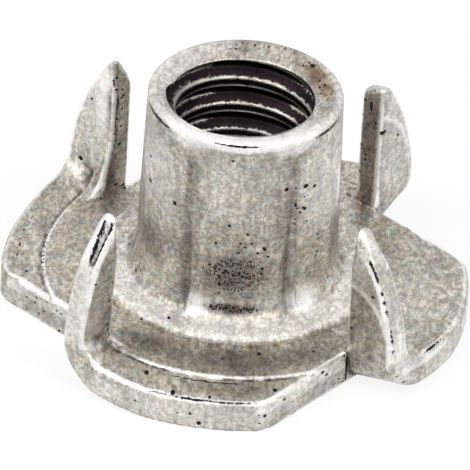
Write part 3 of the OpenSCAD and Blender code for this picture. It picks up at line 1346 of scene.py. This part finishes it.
@dataclass
class Barrel:
    """The drawn barrel with its collar, flare, flutes, countersunk mouth and thread.

    Attributes:
        height: Height of the lip.
        lip_radius: Outside radius at the lip.
        foot_radius: Outside radius at the flare.
        lip_round: Rounding of the lip's outer edge.
        lip_inner_round: Rounding of the lip's inner edge.
        collar_radius: Radius of the collar.
        collar_top: Height of the collar's face.
        collar_round: Rounding of the collar's edge.
        flare_height: Height of the flare.
        flare_width: Width that the flare adds at the collar.
        flare_fillet: Radius that leads the flare into the collar's face.
        root: Height at which the barrel starts inside the flange.
        bore: Radius on the thread's crests.
        mouth_radius: Radius of the countersink at the lip.
        mouth_depth: Depth of the countersink.
        wall: Radius inside the wall, which parts the bore's side from the outside.
        segments: Faces round the barrel.
        rows: Faces along its closed outline.
        arc_steps: Steps along each arc of the outline.
        seam_gap: Distance within which points of the closing mesh are made one.
        flute_count: Number of flutes.
        flute_depth: Depth of a flute at the foot.
        flute_width: Half of a flute's width at the foot.
        flute_turn: Turn of the first flute, in degrees.
        flute_top: Height at which the flutes run out.
        grime_rise: Heights between which the painted shade in the flutes begins.
        grime_fall: Heights at which it has ended and at which it is whole.
        ring_radius: Radii at which the painted highlight ring on the collar's face begins and is whole.
        pitch: Pitch of the thread.
        thread_depth: Depth of the thread.
        thread_gap: Height between the barrel's root and the start of the thread.
        thread_rise: Height over which the thread gets its full depth.
        thread_end: Height at which its groove runs out in the mouth.
        thread_fade: Height over which the groove runs out.
        thin_crest: Height of the groove above which the thin crest over it is missing.
        thin_fade: Height over which that crest goes.
        crest: Half width of the flat on a crest.
        flank: Length of a flank along the axis.
        thread_turn: Turn of the thread's start, in degrees.
        smudges: The patches of dirt, painted shade, painted highlights, pits and rust on it.
        finish: The steel's finish.
    """

    height: float = 11.8
    lip_radius: float = 4.65
    foot_radius: float = 4.85
    lip_round: float = 0.2
    lip_inner_round: float = 0.08
    collar_radius: float = 6.8
    collar_top: float = 2.2
    collar_round: float = 0.42
    flare_height: float = 1.2
    flare_width: float = 0.5
    flare_fillet: float = 0.6
    root: float = 1.1
    bore: float = 3.3
    mouth_radius: float = 4.2
    mouth_depth: float = 0.35
    wall: float = 4.35
    segments: int = 240
    rows: int = 380
    arc_steps: int = 10
    seam_gap: float = 0.004
    flute_count: int = 6
    flute_depth: float = 0.2
    flute_width: float = 0.42
    flute_turn: float = -59.0
    flute_top: float = 11.0
    grime_rise: tuple[float, float] = (2.0, 2.5)
    grime_fall: tuple[float, float] = (11.2, 10.4)
    ring_radius: tuple[float, float] = (5.1, 5.2)
    pitch: float = 1.46
    thread_depth: float = 0.5
    thread_gap: float = 0.1
    thread_rise: float = 0.5
    thread_end: float = 11.62
    thread_fade: float = 0.14
    thin_crest: float = 11.13
    thin_fade: float = 0.11
    crest: float = 0.22
    flank: float = 0.38
    thread_turn: float = 108.5
    smudges: Sequence[Smudge] = (
        # painted shade low on the barrel and on the mouth's left, a painted reflection in the cove, darker
        # mouth at back
        *patches(
            Mask.DIRT_AND_SHADE,
            (-90, 4.85, 4.6, 20, 0.6, 1.35, 0.64), (-150, 4.85, 4.7, 14, 0.6, 0.9, 0.5),
            (-176, 4.85, 6.5, 14, 0.6, 2.6, 0.5), (-12, 4.85, 4.8, 14, 0.6, 1.5, 0.55),
            (-90, 5.1, 2.7, 17, 0.5, 0.28), (100, 4.55, 11.7, 50, 0.16, 0.3, 0.5),
            (90, 4.05, 11.7, 11, 0.4, 0.3, 0.5), (-165, 3.8, 11.5, 26, 0.35, 0.3, 0.35),
        ),
        # scores in the dirt at the front
        *patches(Mask.SCORED, (-90, 4.85, 4.5, 18, 0.6, 1.15, 0.6), (-90, 5.1, 2.7, 16, 0.5, 0.2)),
        # rough places on the sides, the foot and the mouth
        *patches(
            Mask.PITTED,
            (-88, 4.85, 5.2, 20, 0.6, 1.9, 0.5), (-148, 5.1, 2.85, 8, 0.5, 0.3),
            (-20, 5.1, 2.9, 9, 0.5, 0.4), (-52, 4.75, 7.9, 10, 0.5, 1.1), (-36, 4.8, 5.6, 6, 0.5, 1.2),
            (-140, 4.8, 8, 9, 0.5, 2, 0.35), (24, 3.8, 11.65, 24, 0.5, 0.3), (90, 4.05, 11.7, 12, 0.4, 0.3),
        ),
        # painted highlights on the lip, the sides between the flutes, the foot's cove and the mouth
        *patches(
            Mask.BURNISH_AND_HIGHLIGHT,
            (-112.5, 5.1, 2.75, 7.5, 0.6, 0.6), (-50, 5.1, 2.85, 12, 0.6, 0.65),
            (-90, 4.85, 3.62, 16, 0.5, 0.07, 0.7), (-122, 4.65, 11.3, 14, 0.3, 0.3, 0.7),
            (-58, 4.65, 11.3, 15, 0.3, 0.3, 0.7), (-11, 4.75, 7.8, 3, 0.5, 1.2, 0.9),
            (-32, 4.75, 8.6, 24, 0.5, 2.6, 0.35), (-148, 4.75, 8.6, 22, 0.5, 2.6, 0.3),
            (-92, 4.65, 11.45, 24, 0.2, 0.12, 0.7), (-94, 4.7, 9.4, 22, 0.5, 1.9, 0.2),
            (150, 4, 11.65, 44, 0.6, 0.3, 0.45),
        ),
        # painted shadow in dark lines under the lip's rounded edge
        *patches(
            Mask.DARK_MARKS_AND_SHADE,
            (-92, 4.6, 11.7, 17, 0.2, 0.06, 0.95), (-153, 4.65, 11.5, 16, 0.2, 0.11),
            (-30, 4.65, 11.5, 16, 0.2, 0.09, 0.95),
        ),
        # rust in the mouth
        *patches(
            Mask.BROWN,
            (24, 3.85, 11.65, 28, 0.5, 0.3, 0.85), (66, 4.45, 11.75, 30, 0.25, 0.3, 0.5),
            (-92, 3.42, 11.5, 50, 0.22, 0.2),
        ),
    )
    finish: SteelFinish = field(default_factory=lambda: SteelFinish("barrel_steel"))

    def arc(self, centre: Point, radius: float, start: float, end: float) -> list[Point]:
        """Lists points on an arc of the outline.

        Args:
            centre: Its centre, as radius and height.
            radius: Its radius.
            start: Angle at which it starts, in degrees.
            end: Angle at which it ends, in degrees.

        Returns:
            The points.
        """
        steps = range(self.arc_steps + 1)
        angles = [math.radians(start + (end - start) * i / self.arc_steps) for i in steps]
        return [(centre[0] + radius * math.cos(a), centre[1] + radius * math.sin(a)) for a in angles]

    def edge_arc(self, radius: float, height: float, rounding: float) -> list[Point]:
        """Lists points on the rounded outer edge of a face at this height."""
        return self.arc((radius - rounding, height - rounding), rounding, 90.0, 0.0)

    def outline(self) -> list[Point]:
        """Lists the closed half section, from the root up the bore and down the outside.

        Returns:
            Points as radius and height, the last one on the first.
        """
        flare_top = self.collar_top + self.flare_height
        flare_radius = (self.flare_height**2 + self.flare_width**2) / (2 * self.flare_width)
        drop = self.flare_height - self.flare_fillet
        reach = math.sqrt((flare_radius - self.flare_fillet) ** 2 - drop * drop)
        swing = math.degrees(math.atan2(drop, reach))
        cone = math.degrees(math.atan2(self.mouth_depth, self.mouth_radius - self.bore))
        lip = (self.mouth_radius + self.lip_inner_round, self.height - self.lip_inner_round)
        middle = self.foot_radius + flare_radius
        return [
            (self.bore, self.root),
            (self.bore, self.height - self.mouth_depth),
            *self.arc(lip, self.lip_inner_round, 90.0 + cone, 90.0),
            *self.edge_arc(self.lip_radius, self.height, self.lip_round),
            *self.arc((middle, flare_top), flare_radius, 180.0, 180.0 + swing),
            *self.arc((middle - reach, flare_top - drop), self.flare_fillet, 180.0 + swing, 270.0),
            *self.edge_arc(self.collar_radius, self.collar_top, self.collar_round),
            (self.collar_radius, self.root),
            (self.bore, self.root),
        ]

    def sizes(self) -> dict[str, float]:
        """Lists the sizes that the geometry tree takes, by the names of its inputs.

        Returns:
            Counts, lengths in metres and turns in radians.
        """
        lengths = {
            "Flute Depth": self.flute_depth,
            "Flute Width": self.flute_width,
            "Flute Foot": self.collar_top + self.flare_height,
            "Flute Top": self.flute_top,
            "Collar Top": self.collar_top,
            "Pitch": self.pitch,
            "Thread Depth": self.thread_depth,
            "Crest": self.crest,
            "Flank": self.flank,
            "Bore": self.bore,
            "Wall": self.wall,
            "Thread Start": self.root + self.thread_gap,
            "Thread Rise": self.thread_rise,
            "Thread End": self.thread_end,
            "Thread Fade": self.thread_fade,
            "Thin Crest": self.thin_crest,
            "Thin Fade": self.thin_fade,
            "Seam Gap": self.seam_gap,
        }
        return {
            "Segments": self.segments + 1,
            "Rows": self.rows + 1,
            "Flute Count": self.flute_count,
            "Flute Turn": math.radians(self.flute_turn),
            "Thread Turn": math.radians(self.thread_turn),
            **{name: length * MM for name, length in lengths.items()},
        }

    def tree(self) -> bpy.types.NodeTree:
        """Builds the geometry tree that turns the outline into the barrel.

        Returns:
            The tree.
        """
        wire = Wiring(bpy.data.node_groups.new("fluted_threaded_barrel", "GeometryNodeTree"))
        kinds = {name: "Int" if isinstance(size, int) else "Float" for name, size in self.sizes().items()}
        wire.declare("INPUT", {"Outline": "Geometry", **kinds, "Steel": "Material"})
        wire.declare("OUTPUT", {"Barrel": "Geometry"})
        given = wire.add("NodeGroupInput")
        curve = wire.add("GeometryNodeMeshToCurve", {"Mesh": given["Outline"]})[0]
        counts = {"Vertices X": given["Segments"], "Vertices Y": given["Rows"]}
        grid = wire.add("GeometryNodeMeshGrid", {"Size X": 1.0, "Size Y": 1.0, **counts})["Mesh"]
        spot = wire.add("ShaderNodeSeparateXYZ", {0: wire.add("GeometryNodeInputPosition")[0]})
        around = (spot[0] + 0.5) * FULL_TURN
        along = {"Curves": curve, "Factor": spot[1] + 0.5}
        section = wire.add("GeometryNodeSampleCurve", along, mode="FACTOR")["Position"]
        section = wire.add("ShaderNodeSeparateXYZ", {0: section})
        height = section[2]
        radius = self.fluted(given, section[0], height, around)
        radius = self.threaded(given, radius, height, around)
        place = {0: radius * around.of("COSINE"), 1: radius * around.of("SINE"), 2: height}
        place = wire.add("ShaderNodeCombineXYZ", place)[0]
        shape = wire.add("GeometryNodeSetPosition", {"Geometry": grid, "Position": place})[0]
        closing = {"Geometry": shape, "Distance": given["Seam Gap"]}
        shape = wire.add("GeometryNodeMergeByDistance", closing)[0]
        shape = wire.add("GeometryNodeSetShadeSmooth", {"Geometry": shape})[0]
        shape = wire.add("GeometryNodeRealizeInstances", {"Geometry": shape})[0]
        shape = wire.add("GeometryNodeSetMaterial", {"Geometry": shape, "Material": given["Steel"]})[0]
        wire.add("NodeGroupOutput", {0: shape})
        return wire.tree

    def fluted(self, given: Outlets, radius: Flow, height: Flow, around: Flow) -> Flow:
        """Presses the flutes into the outside.

        Args:
            given: The tree's inputs.
            radius: The outline's radius.
            height: The outline's height.
            around: The angle round the axis.

        Returns:
            The radius with the flutes.
        """
        spacing = FULL_TURN / given["Flute Count"]
        # ten whole spacings keep this above 0, and the half puts the middle of a flute at one half
        share = ((around - given["Flute Turn"]) / spacing + 10.5).of("FRACT")
        side = (share - 0.5).of("ABSOLUTE") * spacing * radius
        low = height.ramp(given["Flute Foot"], given["Flute Top"], 1.0, 0.0, "LINEAR")
        wide = given["Flute Width"] * low.of("MAXIMUM", 0.02).of("SQRT")
        outside = radius.of("GREATER_THAN", given["Wall"])
        above = height.of("GREATER_THAN", given["Collar Top"] + 1e-6)
        depth = given["Flute Depth"] * low * side.ramp(0.0, wide, 1.0, 0.0)
        return radius - depth * (outside * above)

    def threaded(self, given: Outlets, radius: Flow, height: Flow, around: Flow) -> Flow:
        """Cuts the right-handed thread into the bore.

        Args:
            given: The tree's inputs.
            radius: The outline's radius.
            height: The outline's height.
            around: The angle round the axis.

        Returns:
            The radius with the thread.
        """
        pitch, crest, thin = given["Pitch"], given["Crest"], given["Thin Crest"]
        start, end = given["Thread Start"], given["Thread End"]
        turns = (around - given["Thread Turn"]) / FULL_TURN
        phase = (height / pitch - turns + 20.5).of("FRACT") - 0.5
        cut = (phase.of("ABSOLUTE") * pitch).ramp(crest, crest + given["Flank"], kind="LINEAR")
        rising = height.ramp(start, start + given["Thread Rise"])
        middle = height + (phase.of("SIGN") * 0.5 - phase) * pitch
        ending = middle.ramp(end - given["Thread Fade"], end, 1.0, 0.0)
        missing = middle.ramp(thin, thin + given["Thin Fade"]) * phase.of("LESS_THAN", 0.0)
        depth = given["Thread Depth"] * cut.of("MAXIMUM", missing) * (rising * ending)
        inside = radius.of("LESS_THAN", given["Wall"])
        return radius + (radius.of("MAXIMUM", given["Bore"] + depth) - radius) * inside

    def build(self) -> bpy.types.Object:
        """Makes the barrel's piece.

        Returns:
            The object.
        """
        outline = bpy.data.meshes.new("barrel_outline")
        points = [(r * MM, 0.0, z * MM) for r, z in self.outline()]
        outline.from_pydata(points, [(i, i + 1) for i in range(len(points) - 1)], [])
        maker = placed("barrel_maker", outline)
        modifier = maker.modifiers.new("fluted_threaded_barrel", "NODES")
        modifier.node_group = self.tree()
        values = {**self.sizes(), "Steel": self.finish.build()}
        for item in modifier.node_group.interface.items_tree:
            if item.in_out == "INPUT" and item.name in values:
                modifier[item.identifier] = values[item.name]
        graph = bpy.context.evaluated_depsgraph_get()
        mesh = bpy.data.meshes.new_from_object(maker.evaluated_get(graph))
        bpy.data.objects.remove(maker)
        mesh.name = "fluted_barrel"
        mesh.materials.clear()
        mesh.materials.append(values["Steel"])
        self.face_outwards(mesh)
        write_marks(mesh, self.marks(mesh))
        return placed("fluted_barrel", mesh)

    def face_outwards(self, mesh: bpy.types.Mesh) -> None:
        """Turns every face of the closed shell out of the metal.

        Args:
            mesh: The barrel's mesh.
        """
        work = bmesh.new()
        work.from_mesh(mesh)
        bmesh.ops.recalc_face_normals(work, faces=work.faces)
        work.to_mesh(mesh)
        work.free()

    def marks(self, mesh: bpy.types.Mesh) -> Marks:
        """Marks the thread, lip, flutes and collar with painted shade and highlights, and adds the smudges.

        Args:
            mesh: The barrel's mesh.

        Returns:
            A value from 0 to 1 for each mask and point.
        """
        places = np.empty(len(mesh.vertices) * 3)
        mesh.vertices.foreach_get("co", places)
        x, y, z = places.reshape(-1, 3).T / MM
        radial = np.hypot(x, y)
        turn = np.degrees(np.arctan2(y, x))
        found = unmarked(len(x))
        self.mark_thread(radial, turn, z, found)

        # a painted highlight on the lip, across its face at the front and along its outer edge elsewhere
        front = hump(turn, -92.0, 58.0, 4)
        lip = eased(z, self.height - 0.38, self.height - 0.34) * (radial > self.bore + 0.02)
        edge = eased(z, self.height - 0.2, self.height - 0.02)
        edge = edge * eased(radial, self.mouth_radius, self.mouth_radius + 0.15)
        found[Mask.BURNISH_AND_HIGHLIGHT] += 1.2 * lip * front + 0.4 * edge * (1.0 - front)
        found[Mask.MATTE] += 0.5 * lip * front

        # painted shade in the flutes, more of it low down and at the front left
        outside = (radial > self.lip_radius - 0.05) & (z > self.collar_top)
        spacing = FULL_TURN / self.flute_count
        off = np.radians(turn - self.flute_turn) / spacing
        side = np.abs(off - np.round(off)) * spacing * radial
        low = np.clip((11.2 - z) / 7.5, 0.0, 1.0) - 0.3 * (turn > -90.0)
        grime = outside * (0.35 + 0.4 * low) * eased(z, *self.grime_rise) * eased(z, *self.grime_fall)
        found[Mask.DIRT_AND_SHADE] += grime * hump(side, 0.0, 0.3, 4)

        # a painted highlight on the collar's edge all round but the front, and on its face's matt ring,
        # half at the back
        collar = eased(radial, self.collar_radius - 0.25, self.collar_radius - 0.05)
        aside = 1.0 - hump(turn, -90.0, 38.0, 4)
        found[Mask.EDGE] += 0.35 * collar * aside * eased(z, self.collar_top - 0.35, self.collar_top - 0.15)
        ring = eased(radial, *self.ring_radius) * eased(z, self.collar_top - 0.2, self.collar_top - 0.05)
        ring = ring * eased(z, self.collar_top + 0.12, self.collar_top + 0.04)
        dimmed = 0.5 * eased(turn, 0.0, 20.0) * eased(turn, 180.0, 160.0)
        found[Mask.BURNISH_AND_HIGHLIGHT] += 0.6 * ring * (1.0 - dimmed)
        found[Mask.MATTE] += ring
        return smudged(found, self.smudges, x, y, z)

    def mark_thread(self, radial: Array, turn: Array, z: Array, found: Marks) -> None:
        """Paints shade in the thread, with lines of painted reflection, and highlights on its crests'
        edges.

        Args:
            radial: The points' distances from the axis.
            turn: Their turns from the +X axis, in degrees.
            z: Their heights.
            found: The masks, which are added to.
        """
        deep = self.height - self.mouth_depth
        cone = deep + (radial - self.bore) * self.mouth_depth / (self.mouth_radius - self.bore)
        inside = (radial < 4.1) & (z < cone - 0.06)
        rise = z / self.pitch - (turn - self.thread_turn) / 360.0
        phase = (rise - np.round(rise)) * self.pitch
        left = eased(turn, 108.0, 120.0) + (turn < -150.0)
        right = eased(turn, 10.0, 20.0) * eased(turn, 64.0, 50.0)
        high = eased(z, 10.5, 10.7)
        far = left * eased(turn, 168.0, 160.0) * (turn > 0.0)
        # lines of painted reflection left in the shade: both edges of a crest, then lower down the foot of
        # a flank, and near the mouth the flank and the groove's floor
        upper = 0.9 * hump(phase, self.crest, 0.09)
        lower = hump(phase + self.crest, 0.05, 0.075)
        root = hump(phase - self.crest, self.flank, 0.09) * (0.8 * left + 0.7 * right)
        flank = 0.25 * left * high * eased(phase, self.crest - 0.05, self.crest + 0.05)
        flank = flank * eased(phase, 0.5, 0.42)
        gap = 0.7 * far * high * np.maximum(eased(phase, 0.56, 0.62), phase < -0.6)
        lines = np.clip(upper + lower + root * (1.0 - high) + flank + gap, 0.0, 1.0)
        # painted shade inside the thread, and painted highlights on its crests' edges
        found[Mask.DARK_MARKS_AND_SHADE] += inside * (1.0 - 0.95 * lines)
        found[Mask.EDGE] += 0.3 * inside * np.clip(upper + lower, 0.0, 1.0)


# ---------------------------------------------------------------------------------------------------
# Studio
# ---------------------------------------------------------------------------------------------------


@dataclass(frozen=True)
class Lamp:
    """A soft studio panel.

    Attributes:
        name: The lamp's name.
        azimuth: Where it stands round the object, in degrees from +X.
        elevation: How high it stands, in degrees.
        distance: How far away it stands, in millimetres.
        size: Its width across, in millimetres.
        power: Its power in watts.
    """

    name: str
    azimuth: float
    elevation: float
    distance: float
    size: float
    power: float


@dataclass
class Studio:
    """The pale floor, the white surroundings, the panels and the camera.

    Attributes:
        elevation: Elevation of the camera, in degrees.
        roll: Roll of the camera, in degrees.
        distance: Distance from the camera to its target.
        target: The point it looks at.
        lens: Focal length in millimetres of film.
        film: Width of the film.
        clip: Nearest and furthest distance that the camera sees, in metres.
        ambient: Strength of the surroundings' light on the object.
        floor_half: Half of the floor's side, in metres.
        floor_tone: How pale the floor's own colour is.
        floor_white: How much of the floor's colour is a plain white where the camera sees it.
        lamps: The panels.
    """

    elevation: float = 34.069
    roll: float = 3.433
    distance: float = 444.0
    target: tuple[float, float, float] = (-0.121, 0.0, 3.569)
    lens: float = 710.2
    film: float = 36.0
    clip: tuple[float, float] = (0.01, 10.0)
    ambient: float = 0.6
    floor_half: float = 1.5
    floor_tone: float = 0.9
    floor_white: float = 0.85
    lamps: Sequence[Lamp] = (
        Lamp("left_panel", -150.0, 48.0, 200.0, 130.0, 0.15),
        Lamp("right_panel", -35.0, 48.0, 200.0, 130.0, 0.12),
        Lamp("front_panel", -92.0, 64.0, 220.0, 170.0, 0.06),
    )

    def place_camera(self) -> None:
        """Creates the camera and makes it the scene's own."""
        rise, roll = math.radians(self.elevation), math.radians(self.roll)
        ahead = Vector((0.0, math.cos(rise), -math.sin(rise)))
        level = Vector((1.0, 0.0, 0.0))
        upright = Vector((0.0, math.sin(rise), math.cos(rise)))
        right = math.cos(roll) * level + math.sin(roll) * upright
        up = -math.sin(roll) * level + math.cos(roll) * upright
        data = bpy.data.cameras.new("camera")
        data.lens = self.lens
        data.sensor_width = self.film
        data.clip_start, data.clip_end = self.clip
        camera = placed("camera", data)
        turn = Matrix((right, up, -ahead)).transposed().to_4x4()
        place = (Vector(self.target) - self.distance * ahead) * MM
        camera.matrix_world = Matrix.Translation(place) @ turn
        bpy.context.scene.camera = camera

    def place_lamps(self) -> None:
        """Sets the panels round the object, each turned towards it."""
        for lamp in self.lamps:
            data = bpy.data.lights.new(lamp.name, "AREA")
            data.shape = "DISK"
            data.size = lamp.size * MM
            data.energy = lamp.power
            turn, rise = math.radians(lamp.azimuth), math.radians(lamp.elevation)
            level = math.cos(rise)
            away = Vector((level * math.cos(turn), level * math.sin(turn), math.sin(rise)))
            panel = placed(lamp.name, data)
            panel.location = away * lamp.distance * MM
            panel.rotation_euler = away.to_track_quat("Z", "Y").to_euler()

    def surround(self) -> None:
        """Gives the world its white backdrop and its softer light."""
        world = bpy.data.worlds.new("surroundings")
        bpy.context.scene.world = world
        wire = Wiring.of(world)
        strength = wire.seen().ramp(0.0, 1.0, self.ambient, 1.0)
        light = wire.add("ShaderNodeBackground", {"Color": WHITE, "Strength": strength})[0]
        wire.add("ShaderNodeOutputWorld", {"Surface": light})

    def lay_floor(self) -> bpy.types.Object:
        """Lays the pale floor.

        Returns:
            The floor.
        """
        mesh = bpy.data.meshes.new("floor")
        half = self.floor_half
        corners = [(-half, -half, 0), (half, -half, 0), (half, half, 0), (-half, half, 0)]
        mesh.from_pydata(corners, [], [(0, 1, 2, 3)])
        material = bpy.data.materials.new("pale_floor")
        wire = Wiring.of(material)
        tone = (self.floor_tone, self.floor_tone, self.floor_tone, 1.0)
        matt = wire.add("ShaderNodeBsdfDiffuse", {"Color": tone})[0]
        white = wire.add("ShaderNodeEmission", {"Color": WHITE, "Strength": 1.0})[0]
        share = wire.seen() * self.floor_white
        mix = wire.add("ShaderNodeMixShader", {0: share, 1: matt, 2: white})[0]
        wire.add("ShaderNodeOutputMaterial", {"Surface": mix})
        mesh.materials.append(material)
        return placed("floor", mesh)

    def build(self) -> bpy.types.Object:
        """Sets up the whole studio.

        Returns:
            The floor.
        """
        bpy.context.scene.view_settings.view_transform = "Standard"
        self.place_camera()
        self.place_lamps()
        self.surround()
        return self.lay_floor()


def main() -> None:
    """Builds the tee nut's pieces, dresses them and sets up the studio."""
    logging.basicConfig(level=logging.INFO, format="%(name)s: %(message)s")
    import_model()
    floor = Studio().build()
    flange = Flange()
    blank = flange.build()
    flange.dress(blank)
    LOG.info("prongs: %s", ", ".join(prong.name for prong in flange.prongs))
    barrel = Barrel().build()
    for piece in (blank, barrel):
        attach(piece, BODY)
        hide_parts(NODE)
        LOG.info("%s: %d faces in %s", piece.name, len(piece.data.polygons), piece.data.materials[0].name)


if __name__ == "__main__":
    main()
